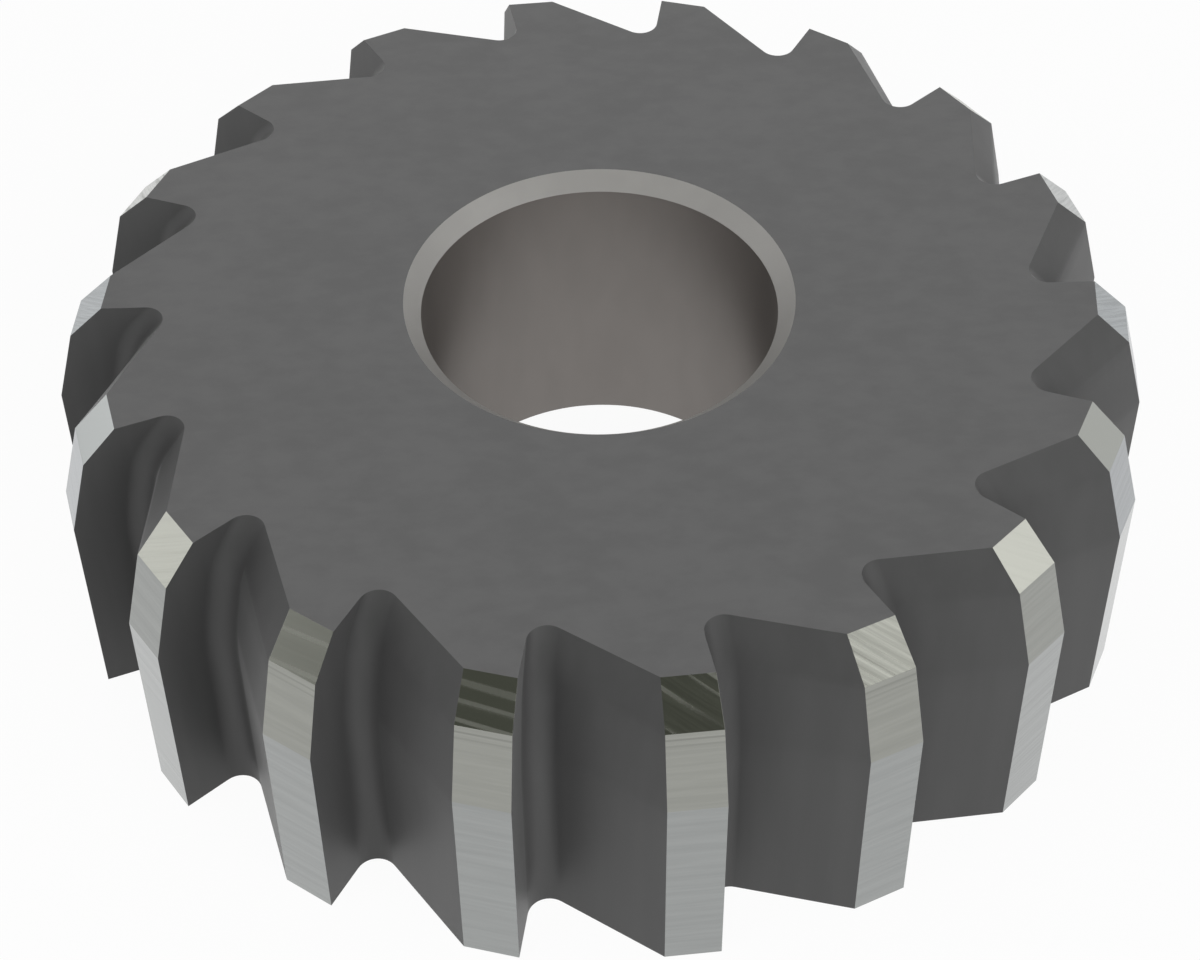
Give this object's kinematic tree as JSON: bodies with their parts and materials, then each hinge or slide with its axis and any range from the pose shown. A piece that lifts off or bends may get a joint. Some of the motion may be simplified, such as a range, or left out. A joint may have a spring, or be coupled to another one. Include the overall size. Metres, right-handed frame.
{
  "type": "hand reamer head",
  "caption": "Ring-shaped steel reamer head with straight saw-like teeth, a tapered and chamfered leading end and a plain central bore for a pilot shaft.",
  "frame": {"origin": "centre of the bore at the plain rear face, which the head rests on", "axes": "+Z along the bore towards the chamfered leading end; one tooth's radial rake face lies along +X"},
  "size_m": [0.0496, 0.0492, 0.0156],
  "materials": {
    "tool_steel": "dark hardened steel, satin, with bright ground lands"
  },
  "bodies": {
    "root": {"reamer_head": "tool_steel"}
  },
  "joints": []
}
